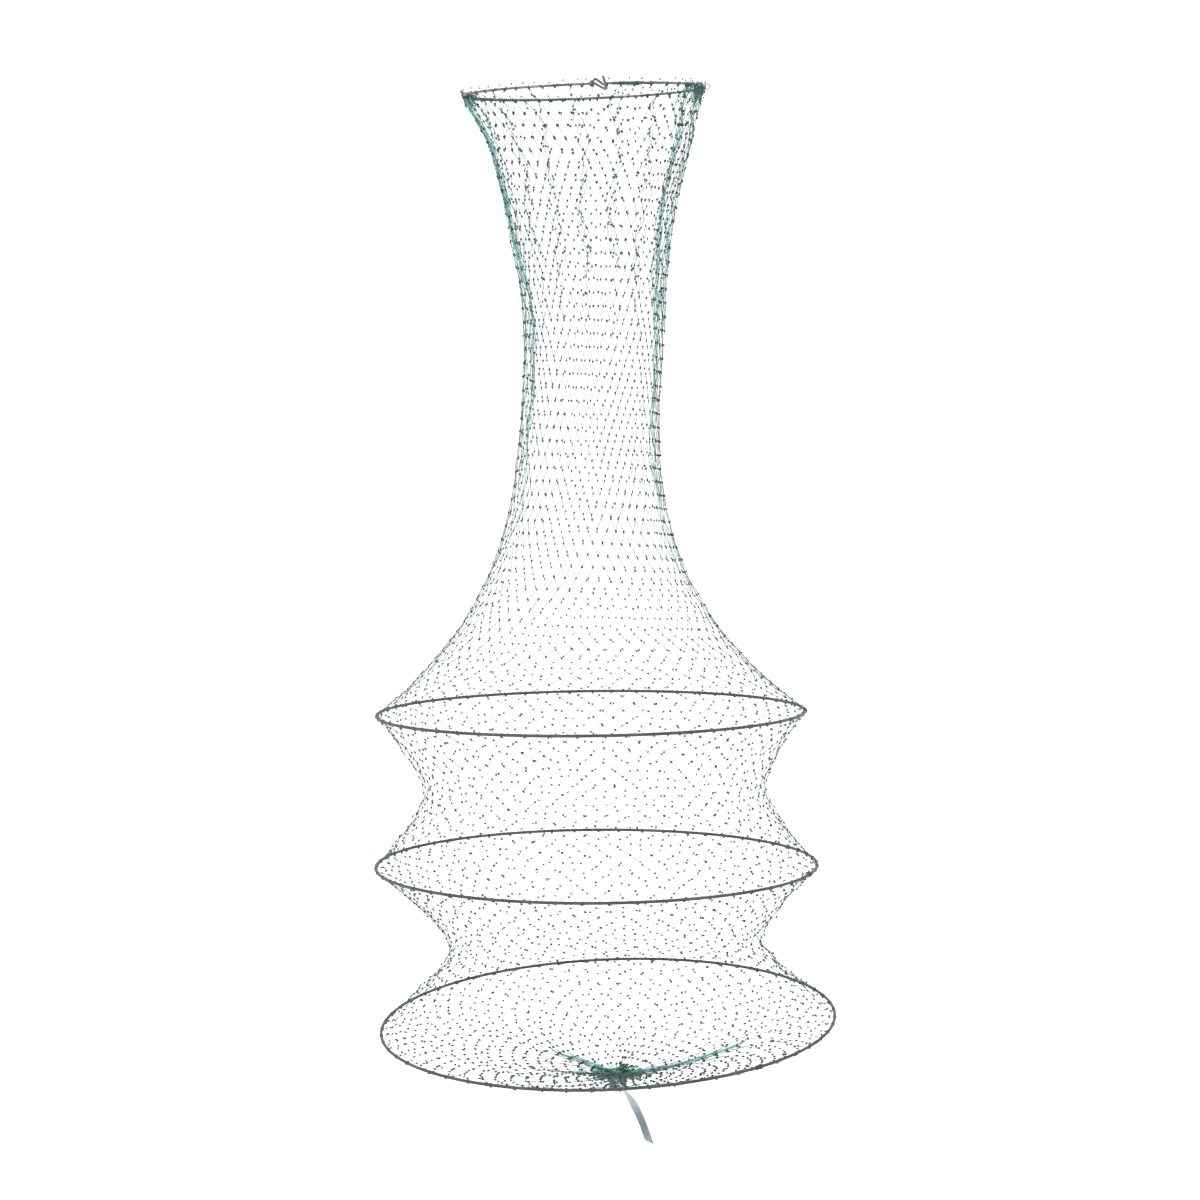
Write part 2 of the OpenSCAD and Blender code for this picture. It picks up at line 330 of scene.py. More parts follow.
knots = np.zeros((len(row), 3))
knot_out, knot_side, knot_up = (np.zeros((len(row), 3)) for _ in range(3))
part = np.clip(np.searchsorted(ends, level, side="right") - 1, 0, 3)
for i, section in enumerate(sections):
    at = np.flatnonzero(part == i)
    share = (level[at] - ends[i]) / section.rows[-1]
    fold_phi, depth = drawn_in(phi[at], share, FOLDS[i])
    lively = np.sin(math.pi * np.clip(share, 0, 1)) ** 0.5
    swell = 1 + 0.012 * lively * noise_1d(phi[at] * 3 + share * 4, 20 + i) - 0.05 * depth * lively
    p, out, side, up = section.place(level[at] - ends[i], fold_phi, swell)
    shake = rng.normal(0, JITTER[i], (len(at), 3)) * np.clip(lively, 0, 1)[:, None]
    if i == 0:
        shake *= 1 + TOP_RUFFLE * np.exp(-level[at] / TOP_ROWS)[:, None]
    knots[at] = p + shake
    knot_out[at], knot_side[at], knot_up[at] = out, side, up
    phi[at] = fold_phi
for i, ring in enumerate([mouth] + hoops):
    at = pinned == i
    slip = rng.normal(0, KNOT_SLIP, at.sum()) / ring.radius
    knots[at] = ring.at(phi[at] + slip, -0.3 * ring.wire_r, -ring.wire_r - TWINE_R * 2)

# The knots are drawn together until few bars are longer than their twine
RELAX_PASSES = 60
RELAX_STEP = 1.6       # over-relaxation of each pass
free = (pinned < 0).astype(float)
a, b = links[:, 0], links[:, 1]
count = np.bincount(links.ravel(), minlength=len(knots)).clip(1)[:, None]
for _ in range(RELAX_PASSES):
    d = knots[b] - knots[a]
    length = np.linalg.norm(d, axis=1, keepdims=True)
    pull = 0.5 * d * np.maximum(0, 1 - BAR / np.maximum(length, 1e-9))
    move = np.zeros_like(knots)
    np.add.at(move, a, pull)
    np.add.at(move, b, -pull)
    knots += RELAX_STEP * move / count * free[:, None]


# ---- meshes ----

def tube_faces(stations, sides):
    """Loops, face sizes and UVs of a shut tube with its vertices in station order."""
    s, i = np.meshgrid(np.arange(stations - 1), np.arange(sides), indexing="ij")
    s, i = s.ravel(), i.ravel()
    n = (i + 1) % sides
    quads = np.stack([s * sides + i, s * sides + n, (s + 1) * sides + n, (s + 1) * sides + i], 1)
    u, v = s / (stations - 1), i / sides
    du, dv = 1 / (stations - 1), 1 / sides
    uv = np.stack([np.stack([u, v], 1), np.stack([u, v + dv], 1),
                   np.stack([u + du, v + dv], 1), np.stack([u + du, v], 1)], 1).reshape(-1, 2)
    loops, sizes = quads.ravel(), np.full(len(quads), 4)
    turn = np.arange(sides) / sides * TAU
    disc = 0.5 + 0.03 * np.stack([np.cos(turn), np.sin(turn)], 1)
    loops = np.concatenate([loops, np.arange(sides)[::-1], (stations - 1) * sides + np.arange(sides)])
    sizes = np.concatenate([sizes, [sides, sides]])
    uv = np.concatenate([uv, disc * [0.04, 1], 1 - disc * [0.04, 1]])
    return loops, sizes, uv


def tube_rings(path, radius, sides, turn=0.0, lobes=0, lobe_depth=0.0):
    """Rings of vertices round a path, with no twist but the turn asked for along it."""
    path = np.asarray(path, float)
    tangent = unit(np.gradient(path, axis=0))
    n = len(path)
    start = np.cross(tangent[0], [0, 0, 1.0])
    if np.linalg.norm(start) < 0.1:
        start = np.cross(tangent[0], [0, 1.0, 0])
    e = unit(start)
    first = []
    for t in tangent:
        e = unit(e - t * (e @ t))
        first.append(e)
    first = np.array(first)
    second = np.cross(tangent, first)
    radius = np.broadcast_to(radius, (n,))
    a = np.arange(sides) / sides * TAU
    rim = 1 + lobe_depth * np.abs(np.cos(a * lobes / 2)) if lobes else np.ones(sides)
    around = a[None, :] + (np.linspace(0, 1, n) * turn)[:, None]
    ring = (radius[:, None] * rim[None, :])[..., None] * (
        np.cos(around)[..., None] * first[:, None] + np.sin(around)[..., None] * second[:, None])
    return (path[:, None] + ring).reshape(-1, 3)


class Pile:
    """Collects skins into one mesh."""

    def __init__(self):
        self.verts, self.loops, self.sizes, self.uvs, self.base = [], [], [], [], 0

    def add(self, verts, faces, count=1):
        """verts holds count copies, one after another, of what faces describes."""
        loops, sizes, uv = faces
        each = len(verts) // count
        self.verts.append(verts)
        shift = self.base + each * np.arange(count)
        self.loops.append((loops[None] + shift[:, None]).ravel())
        self.sizes.append(np.tile(sizes, count))
        self.uvs.append((np.tile(uv, (count, 1)), np.repeat(np.arange(count), len(uv)), count))
        self.base += len(verts)
        return self

    def tube(self, path, radius, sides=8, **more):
        verts = tube_rings(path, radius, sides, **more)
        return self.add(verts, tube_faces(len(path), sides))

    def strand(self, path, thickness=1.0):
        """A length of netting twine, this many times as thick."""
        return self.tube(path, TWINE_R * thickness, SIDES)

    def object(self, name, material, slot):
        """The mesh object, with each copy in a cell of its own of the UV square."""
        verts = np.concatenate(self.verts)
        loops, sizes = np.concatenate(self.loops), np.concatenate(self.sizes)
        cells = sum(u[2] for u in self.uvs)
        grid = math.ceil(math.sqrt(cells))
        uv, first = [], 0
        for local, cell, count in self.uvs:
            cell = cell + first
            first += count
            corner = np.stack([cell % grid, cell // grid], 1)
            uv.append((corner + 0.06 + 0.88 * local) / grid)
        uv = np.concatenate(uv)
        mesh = bpy.data.meshes.new(name)
        mesh.vertices.add(len(verts))
        mesh.vertices.foreach_set("co", verts.astype(np.float32).ravel())
        mesh.loops.add(len(loops))
        mesh.loops.foreach_set("vertex_index", loops.astype(np.int32))
        mesh.polygons.add(len(sizes))
        starts = np.concatenate([[0], np.cumsum(sizes)[:-1]])
        mesh.polygons.foreach_set("loop_start", starts.astype(np.int32))
        mesh.polygons.foreach_set("use_smooth", np.full(len(sizes), True))
        layer = mesh.uv_layers.new(name="OFBake")
        layer.data.foreach_set("uv", uv.astype(np.float32).ravel())
        mesh.update(calc_edges=True)
        mesh.validate()
        mesh.materials.append(material)
        obj = bpy.data.objects.new(name, mesh)
        bpy.context.scene.collection.objects.link(obj)
        return obj


# ---- materials ----

def add_node(tree, kind, inputs=(), **props):
    node = tree.nodes.new(kind)
    for key, value in props.items():
        setattr(node, key, value)
    for key, value in dict(inputs).items():
        if isinstance(value, bpy.types.NodeSocket):
            tree.links.new(value, node.inputs[key])
        else:
            node.inputs[key].default_value = value
    return node


def new_material(name):
    material = bpy.data.materials.new(name)
    material.use_nodes = True
    return material, material.node_tree, material.node_tree.nodes["Principled BSDF"]


def colour(rgb):
    return (*rgb, 1.0)


def finish_of(name, light, dark, scale, rough, rough_step=0.1, bump=0.0, bump_scale=1.0, metallic=0.0,
              sheen=0.0, plies=0.0, specular=0.5, coat=0.0):
    """A finish whose colour, roughness and relief vary, with optional twisted plies along OFBake whose bands
    darken the colour as painted shade between the plies.
    """
    material, tree, bsdf = new_material(name)
    place = add_node(tree, "ShaderNodeTexCoord").outputs["Object"]
    patches = add_node(tree, "ShaderNodeTexNoise", {"Vector": place, "Scale": scale, "Detail": 5.0})
    spread = add_node(tree, "ShaderNodeMapRange", {"Value": patches.outputs["Fac"], "From Min": 0.35,
                                                   "From Max": 0.65})
    mixed = add_node(tree, "ShaderNodeMix", {"Factor": spread.outputs["Result"]}, data_type="RGBA")
    mixed.inputs[6].default_value = colour(dark)
    mixed.inputs[7].default_value = colour(light)
    base = mixed.outputs[2]
    height = add_node(tree, "ShaderNodeTexNoise", {"Vector": place, "Scale": scale * bump_scale * 6,
                                                   "Detail": 3.0}).outputs["Fac"]
    if plies:
        uv = add_node(tree, "ShaderNodeUVMap", uv_map="OFBake")
        wave = add_node(tree, "ShaderNodeTexWave", {"Vector": uv.outputs["UV"], "Scale": plies,
                                                    "Distortion": 0.4}, bands_direction="DIAGONAL")
        # The ply bands darken the colour to as little as 0.72 of itself: painted shade in the grooves between
        # the plies.
        shade = add_node(tree, "ShaderNodeMapRange", {"Value": wave.outputs["Fac"], "To Min": 0.72,
                                                      "To Max": 1.0})
        lit = add_node(tree, "ShaderNodeMix", {"Factor": 1.0}, data_type="RGBA", blend_type="MULTIPLY")
        tree.links.new(base, lit.inputs[6])
        tree.links.new(shade.outputs["Result"], lit.inputs[7])
        base, height = lit.outputs[2], wave.outputs["Fac"]
    tree.links.new(base, bsdf.inputs["Base Color"])
    vary = add_node(tree, "ShaderNodeMapRange", {"Value": patches.outputs["Fac"],
                                                 "To Min": rough - rough_step, "To Max": rough + rough_step})
    tree.links.new(vary.outputs["Result"], bsdf.inputs["Roughness"])
    if bump:
        relief = add_node(tree, "ShaderNodeBump", {"Height": height, "Distance": bump, "Strength": 0.7})
        tree.links.new(relief.outputs["Normal"], bsdf.inputs["Normal"])
    bsdf.inputs["Metallic"].default_value = metallic
    bsdf.inputs["Sheen Weight"].default_value = sheen
    bsdf.inputs["Specular IOR Level"].default_value = specular
    bsdf.inputs["Coat Weight"].default_value = coat
    return material


bare_wire = finish_of("bare_wire", (0.17, 0.17, 0.17), (0.06, 0.057, 0.055), 60, 0.38, 0.12, 0.00004, 4,
                      metallic=1.0)
core_wire = finish_of("core_wire", (0.42, 0.42, 0.42), (0.28, 0.28, 0.28), 90, 0.32, 0.08, 0.00003, 4,
                      metallic=1.0)
hoop_coating = finish_of("hoop_coating", (0.052, 0.057, 0.057), (0.020, 0.023, 0.023), 70, 0.5, 0.12,
                         0.00005, 4, specular=0.3, coat=0.05)
ferrule = finish_of("ferrule", (0.022, 0.022, 0.022), (0.008, 0.008, 0.008), 120, 0.5, 0.1, 0.00005, 3)
netting = finish_of("netting", (0.050, 0.135, 0.122), (0.028, 0.085, 0.078), 45, 0.62, 0.1, 0.00002, 8,
                    sheen=0.2, plies=1.0)
# The knots' twine is painted much darker than the netting's: partly for the twine doubled up in a knot, partly
# as painted shade for the shadows inside each knot.
knot_twine_with_painted_shade = finish_of("knot_twine_with_painted_shade", (0.010, 0.022, 0.020), (0.004, 0.010, 0.009), 60, 0.7, 0.1,
                         0.00002, 8, sheen=0.1)
fold_twine = finish_of("fold_twine", (0.11, 0.46, 0.42), (0.062, 0.32, 0.29), 60, 0.62, 0.1, 0.00002, 8,
                       sheen=0.2, plies=1.0)
twine = finish_of("twine", (0.030, 0.13, 0.115), (0.010, 0.052, 0.046), 80, 0.65, 0.1, 0.00002, 8,
                  sheen=0.1)
bunched_netting = finish_of("bunched_netting", (0.032, 0.16, 0.145), (0.007, 0.042, 0.038), 160, 0.7,
                            0.1, 0.00003, 6, sheen=0.1)
tie_cord = finish_of("tie_cord", (0.66, 0.74, 0.74), (0.48, 0.58, 0.58), 220, 0.7, 0.1, 0.00006, 6,
                     sheen=0.3)
ribbon_weave = finish_of("ribbon", (0.120, 0.172, 0.182), (0.080, 0.128, 0.138), 140, 0.5, 0.1, 0.00004, 8,
                         sheen=0.25)


def painted_highlight_by_height(material, heights, pale):
    """Mixes a paler colour into a finish, by shares given at heights in metres: a painted highlight that
    stands in for light falling on the finish.
    """
    tree = material.node_tree
    bsdf = tree.nodes["Principled BSDF"]
    base = bsdf.inputs["Base Color"].links[0].from_socket
    place = add_node(tree, "ShaderNodeTexCoord").outputs["Object"]
    z = add_node(tree, "ShaderNodeSeparateXYZ", {"Vector": place}).outputs["Z"]
    lo, hi = heights[0][0], heights[-1][0]
    t = add_node(tree, "ShaderNodeMapRange", {"Value": z, "From Min": lo, "From Max": hi}).outputs["Result"]
    ramp = add_node(tree, "ShaderNodeValToRGB", {"Fac": t})
    stops = ramp.color_ramp.elements
    while len(stops) < len(heights):
        stops.new(0.5)
    for stop, (height, share) in zip(stops, heights):
        stop.position = (height - lo) / (hi - lo)
        stop.color = (share, share, share, 1)
    mixed = add_node(tree, "ShaderNodeMix", {"Factor": ramp.outputs["Color"]}, data_type="RGBA")
    tree.links.new(base, mixed.inputs[6])
    mixed.inputs[7].default_value = colour(pale)
    tree.links.new(mixed.outputs[2], bsdf.inputs["Base Color"])


tail_low, tail_high = (c[2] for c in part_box("ribbon_tail"))
tail_span = tail_high - tail_low
# Painted highlight: the ribbon is painted paler towards its top, and slightly at its cut end, for the satin
# catching the light.
painted_highlight_by_height(ribbon_weave, [(tail_low, 0.22), (tail_low + 0.16 * tail_span, 0.05),
                               (tail_low + 0.34 * tail_span, 0.0), (tail_low + 0.52 * tail_span, 0.08),
                               (tail_low + 0.70 * tail_span, 0.30), (tail_high, 0.70)], (0.66, 0.72, 0.72))

for node, material in (
        ("mouth_ring", bare_wire), ("ring_eye", bare_wire), ("ring_hook", bare_wire),
        ("mouth_lashing", twine), ("neck_netting", netting), ("upper_chamber_netting", netting),
        ("lower_chamber_netting", netting), ("bottom_netting", netting),
        ("gather_tuft", bunched_netting), ("tie_cord", tie_cord), ("tie_knot", tie_cord),
        ("ribbon_tail", ribbon_weave),
        *((f"hoop_{i}_{kind}", m) for i in (1, 2, 3) for kind, m in (
            ("core", core_wire), ("coating", hoop_coating), ("ferrule", ferrule), ("lashing", twine)))):
    slots = frame["nodes"][node].data.materials
    if len(slots):
        for i in range(len(slots)):
            slots[i] = material
    else:
        slots.append(material)


# ---- netting pieces ----

def curve_through(points, count):
    """A smooth line through a few points (Catmull-Rom)."""
    p = np.asarray(points, float)
    p = np.concatenate([[2 * p[0] - p[1]], p, [2 * p[-1] - p[-2]]])
    t = np.linspace(0, len(p) - 3 - 1e-6, count)
    i = t.astype(int)
    w = (t - i)[:, None]
    a, b, c, d = p[i], p[i + 1], p[i + 2], p[i + 3]
    return 0.5 * (2 * b + (c - a) * w + (2 * a - 5 * b + 4 * c - d) * w ** 2
                  + (3 * b - a - 3 * c + d) * w ** 3)


# A sheet bend, in knot twine diameters: sideways, outward, upward
KNOT_STRAND_R = 0.56
BIGHT = [(-0.95, 0.0, 1.6), (-0.75, 0.15, 0.5), (0.0, 0.45, -1.3), (0.75, 0.15, 0.5), (0.95, 0.0, 1.6)]
WORKING = [(-0.95, -0.3, -1.6), (-0.35, -0.55, -0.7), (0.1, 0.75, 0.1), (1.3, 0.45, 0.7),
           (0.95, -0.85, 0.7), (-0.95, -0.85, 0.7), (-1.3, 0.5, 0.45), (0.2, 1.15, -0.25),
           (0.95, 0.2, -1.6)]


def knot_template():
    """Vertices and faces of one knot at the origin, with the two twines on separate halves of the UVs."""
    verts, loops, sizes, uvs, base = [], [], [], [], 0
    for n, path in enumerate((BIGHT, WORKING)):
        v = tube_rings(np.array(path), KNOT_STRAND_R, SIDES)
        f = tube_faces(len(path), SIDES)
        verts.append(v)
        loops.append(f[0] + base)
        sizes.append(f[1])
        uvs.append(f[2] * [1, 0.48] + [0, 0.52 * n])
        base += len(v)
    return np.concatenate(verts) * KNOT_TWINE_D, (np.concatenate(loops), np.concatenate(sizes),
                                                  np.concatenate(uvs))


knot_verts, knot_faces = knot_template()


def placed(template, at, x, y, z):
    """Copies of a template at each point, with its axes along x, y and z."""
    axes = np.stack([x, y, z], 1)
    return (at[:, None] + template[None] @ axes).reshape(-1, 3)


def place_knots(pile, at, out, up, scale=1.0):
    """Loose knots at points, facing outward and lying roughly along up."""
    n = len(at)
    y = unit(out + rng.normal(0, 0.35, (n, 3)))
    x = unit(np.cross(y, up + rng.normal(0, 0.35, (n, 3))))
    z = np.cross(x, y)
    size = scale * rng.uniform(0.9, 1.15, (n, 1))
    return pile.add(placed(knot_verts, at, x * size, y * size, z * size), knot_faces, n)


TOP_KNOT_GAIN = 0.38   # how much larger the knots at the mouth are
KNOT_SIZES = [1, 1.1, 1.12, 1.32]       # sizes at the upper hoop, just under it, at the bottom and the tie


def turned(x, y, angle):
    """Two directions turned toward each other by an angle."""
    c, s = np.cos(angle)[:, None], np.sin(angle)[:, None]
    return x * c + y * s, y * c - x * s


def knot_pile(which):
    """The lattice's own knots, each turned and tipped a little."""
    n = len(which)
    crowd = 1 + TOP_KNOT_GAIN * np.exp(-level[which] / TOP_ROWS)[:, None]
    weight = np.interp(level[which], [ends[1], ends[1] + 3, ends[3], ends[4]], KNOT_SIZES)[:, None]
    scale = rng.uniform(1.0, 1.3, (n, 1)) * crowd * weight
    spin, nod = rng.normal(0, 0.28, n), rng.normal(0, 0.25, n)
    x, y, z = knot_side[which], knot_out[which], knot_up[which]
    x, z = turned(x, z, spin)
    y, z = turned(y, z, nod)
    flip = np.where(rng.random(n) < 0.5, -1.0, 1.0)[:, None]
    verts = placed(knot_verts, knots[which], x * scale * flip, y * scale * flip, z * scale)
    return Pile().add(verts, knot_faces, n)


STATIONS = 4           # rings of vertices along a bar
MAX_SAG = 0.0011       # the most that a slack bar hangs out of line


def bar_pile(which):
    """The lattice's bars, each sagging by the twine that it has to spare."""
    p, q = knots[links[which, 0]], knots[links[which, 1]]
    out = unit(knot_out[links[which, 0]] + knot_out[links[which, 1]])
    along = q - p
    chord = np.linalg.norm(along, axis=1)
    slack = np.sqrt(np.maximum(BAR * 0.998 - chord, 0) * chord * 3 / 8).clip(0, MAX_SAG)
    sag = unit(out * rng.normal(0.1, 0.6, (len(p), 1)) + [0, 0, -0.5]
               + rng.normal(0, 0.35, (len(p), 3)))
    along = unit(along)
    sag = sag - along * (sag * along).sum(1, keepdims=True)
    first = unit(np.cross(along, out))
    second = np.cross(along, first)
    t = np.linspace(0, 1, STATIONS)
    mid = p[:, None] + (q - p)[:, None] * t[None, :, None] + (
        sag * slack[:, None])[:, None] * (4 * t * (1 - t))[None, :, None]
    a = np.arange(SIDES) / SIDES * TAU
    ring = np.cos(a)[None, :, None] * first[:, None] + np.sin(a)[None, :, None] * second[:, None]
    verts = (mid[:, :, None] + TWINE_R * ring[:, None]).reshape(-1, 3)
    return Pile().add(verts, tube_faces(STATIONS, SIDES), len(p))


# Drawn-out slack meshes in the deepest folds: section, angle, number of strands, the shares of the
# section where they begin and end, how far they wander, the course, and how wide they fan at the top
ROPES = [
    (0, 3.62, 10, 0.0, 0.66, 0.0044, LEFT_COURSE, 0.58),
    (0, 3.14, 5, 0.0, 0.50, 0.0030, STRAIGHT, 0.34),
    (0, -0.36, 9, 0.0, 0.70, 0.0040, RIGHT_COURSE, 0.16),
    (0, 0.02, 4, 0.0, 0.40, 0.0048, STRAIGHT, 0.20),
    (3, -0.50, 13, 0.42, 1.0, 0.0034, RIGHT_ARM_COURSE, 0.02),
    (3, 2.58, 12, 0.71, 1.0, 0.0030, STRAIGHT, 0.02),
    (3, 3.75, 3, 0.76, 1.0, 0.0030, STRAIGHT, 0.05),
]
ROPE_STATIONS = 80
ROPE_INSET = 0.985     # the folds lie just inside the netting
TIP_STATIONS = 8       # stations over which a strand's end is drawn to its knot
FAN_END = 0.15         # share of a section by which a fan has closed to its rope
SLACK_PLACES = 17      # places round the top of the neck where slack strands hang


def rope_strands(pile, i, angle, count, begin, end, wander, course=STRAIGHT, fan=0.0, knot_every=0):
    """Strands that wander about a fold of a section and start and end at its knots."""
    own = knots[part == i]
    for strand in range(count):
        seed = 500 + 100 * i + 7 * strand + int(angle * 10)
        cut = rng.uniform(0, 0.35)
        last = end - cut * (end - begin) if end < 1 else end
        first = begin + (0 if begin == 0 else cut * (end - begin))
        share = np.linspace(first, last, ROPE_STATIONS)
        rows = share * sections[i].rows[-1]
        spread = fan * rng.uniform(-1, 1) * (1 - smooth((share - begin) / FAN_END))
        at = fold_angle(share, angle, course) + spread
        point, out, side, _ = sections[i].place(rows, at, ROPE_INSET)
        ends_in = np.sin(math.pi * np.clip((share - first) / (last - first), 0, 1)) ** 0.5
        loose = wander * (0.3 + 0.7 * ends_in)
        across = loose * noise_1d(rows * 0.55, seed)
        deep = loose * noise_1d(rows * 0.55, seed + 50)
        path = point + side * across[:, None] + out * (0.55 * deep - 0.3 * wander)[:, None]
        station = np.arange(ROPE_STATIONS)
        for tip, weight in ((0, smooth(1 - station / TIP_STATIONS)),
                            (-1, smooth(1 - station[::-1] / TIP_STATIONS))):
            near = own[np.linalg.norm(own - path[tip], axis=1).argmin()]
            path = path + weight[:, None] * (near - path[tip])
        pile.strand(path, 1.1)
        if knot_every:
            at = slice(3 + strand % knot_every, ROPE_STATIONS - 3, knot_every)
            place_knots(pile, path[at], out[at], UP, 1.3)


bar_part = np.clip(np.searchsorted(ends, level[links].mean(1), side="right") - 1, 0, 3)
knot_part = np.clip(np.searchsorted(ends, level + np.where(pinned > 0, -0.01, 0.01), side="right") - 1,
                    0, 3)
SPANS = ["neck", "upper_chamber", "lower_chamber", "bottom"]
for i, span in enumerate(SPANS):
    top, low = sections[i].top, sections[i].low
    lean = [r.radius * math.hypot(*r.normal[:2]) + 0.003 for r in (top, low)]
    end = (0, 0, low.centre[2] + (lean[1] if i < 3 else 0))
    piles = [(f"{span}_twine", bar_pile(np.flatnonzero(bar_part == i)), netting)]
    ropes = [rope for rope in ROPES if rope[0] == i]
    if ropes:
        folds = Pile()
        for rope in ropes:
            rope_strands(folds, *rope)
        piles.append((f"{span}_folds", folds, fold_twine))
    if i == 0:
        slack = Pile()
        for place in range(SLACK_PLACES):
            rope_strands(slack, 0, TAU * place / SLACK_PLACES + 0.2, 2, 0.0, 0.36, 0.0055, knot_every=7)
        piles.append((f"{span}_slack_strands", slack, twine))
    own = np.flatnonzero(knot_part == i)
    if i == 0:
        half = np.median(level[own])
        piles.append((f"{span}_knots_upper", knot_pile(own[level[own] <= half]), knot_twine_with_painted_shade))
        piles.append((f"{span}_knots_lower", knot_pile(own[level[own] > half]), knot_twine_with_painted_shade))
    else:
        piles.append((f"{span}_knots", knot_pile(own), knot_twine_with_painted_shade))
    for name, pile, material in piles:
        piece = pile.object(name, material, "netting")
        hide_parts(f"{span}_netting")
        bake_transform(piece)


# ---- selvage, bindings and wires ----

def stand_in(piece, body, *nodes):
    """Shows a piece in place of CAD nodes, on their body."""
    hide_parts(*nodes)
    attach(piece, body)


def wire_coil(ring, phi0, phi1, turns, gap):
    """A twine wound round a ring's wire from one angle to another, a little unevenly."""
    n = int(abs(turns) * 10) + 2
    t = np.linspace(0, 1, n)
    a = TAU * turns * t
    r = ring.wire_r + TWINE_R + gap * (0.5 + 0.5 * noise_1d(t * 40, int(abs(phi0) * 100) + 3))
    phi = phi0 + (phi1 - phi0) * (t + 0.006 * noise_1d(t * 60, 5))
    return ring.at(phi, r * np.cos(a), r * np.sin(a))


def loop_template(wire_r):
    """Twine passed nearly twice round a wire that runs along x."""
    a = np.linspace(-0.5 * math.pi - 1.7 * math.pi, -0.5 * math.pi + 1.7 * math.pi, 16)
    r = wire_r + KNOT_TWINE_D * 0.5
    path = np.stack([KNOT_TWINE_D * 1.05 * a / TAU, r * np.cos(a), r * np.sin(a)], 1)
    path[0] += [0, 0, -0.0006]
    path[-1] += [0, 0, -0.0006]
    return tube_rings(path, KNOT_TWINE_D * 0.45, SIDES), tube_faces(len(path), SIDES)


def slack_line(p, q, bulge):
    """A loose strand from p to q that bulges by a vector in the middle."""
    t = np.linspace(0, 1, 7)[:, None]
    return p + (q - p) * t + bulge * 4 * t * (1 - t)


def crowded(ring, phi0, reach, out_range, up_range, count):
    """Places on and under a ring, crowded near its wire and drawing together further down."""
    depth = rng.beta(1.0, 2.4, count)
    narrow = 1 - 0.65 * depth
    phi = phi0 + rng.normal(0, reach, count) * narrow / ring.radius
    outward = out_range[1] + (out_range[0] - out_range[1]) * rng.beta(1.3, 2.0, count) * (0.35 + 0.65 * narrow)
    inward = 0.35 * out_range[0] * depth
    up = up_range[1] + (up_range[0] - up_range[1]) * depth
    return phi, ring.at(phi, outward + inward, up)


def tangle(pile, ring, phi0, reach, out_range, up_range, strands, knot_count):
    """A bunch of slack meshes crowded round one place on a ring."""
    for _ in range(strands):
        _, places = crowded(ring, phi0, reach, out_range, up_range, 6)
        pile.strand(curve_through(places, 22), 1.15)
    phi, places = crowded(ring, phi0, reach, out_range, up_range, knot_count)
    place_knots(pile, places, ring.out(phi), UP)


def angle_on(ring, point):
    d = np.asarray(point, float) - ring.centre
    return math.atan2(d @ ring.v, d @ ring.u)


def node_middle(name):
    lo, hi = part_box(name)
    return (np.array(lo) + np.array(hi)) / 2


HUNG_LOOPS = 15        # short loops that hang under the wire beside the closure
CLEAR_OF_CLOSURE = 0.006        # the netting keeps this far from the hook and eye
WIDE_GAP = 0.01        # a mesh edge stands up over the wire where two loops are this far apart, in turns
closure = angle_on(mouth, (node_middle("ring_eye") + node_middle("ring_hook")) / 2)

